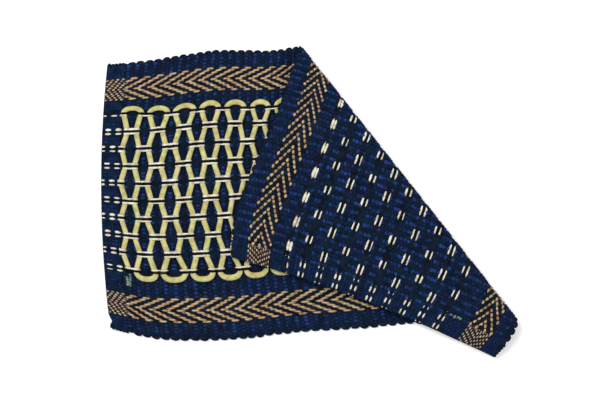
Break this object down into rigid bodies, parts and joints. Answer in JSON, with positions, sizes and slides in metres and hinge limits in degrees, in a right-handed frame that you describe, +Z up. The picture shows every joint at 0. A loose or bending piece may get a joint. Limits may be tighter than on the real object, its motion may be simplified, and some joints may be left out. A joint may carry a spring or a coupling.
{
  "type": "fabric placemat",
  "caption": "Handwoven cotton placemat folded across one corner, ribbed navy cloth with tan herringbone bands and a tied cream cord net.",
  "frame": {"origin": "on the table, under the middle of the folded mat's outline", "axes": "+X along the mat's lower layer from its left hem, +Y towards its far long edge, +Z up"},
  "size_m": [0.4383, 0.3262, 0.018],
  "materials": {
    "mat_cloth": "matt ribbed cotton in navy and royal blue with tan herringbone bands and off-white tie threads",
    "inlaid_cord": "matt soft cotton cord, pale yellow cream"
  },
  "bodies": {
    "root": {"mat_cloth": "mat_cloth", "inlaid_cord": "inlaid_cord"}
  },
  "joints": []
}
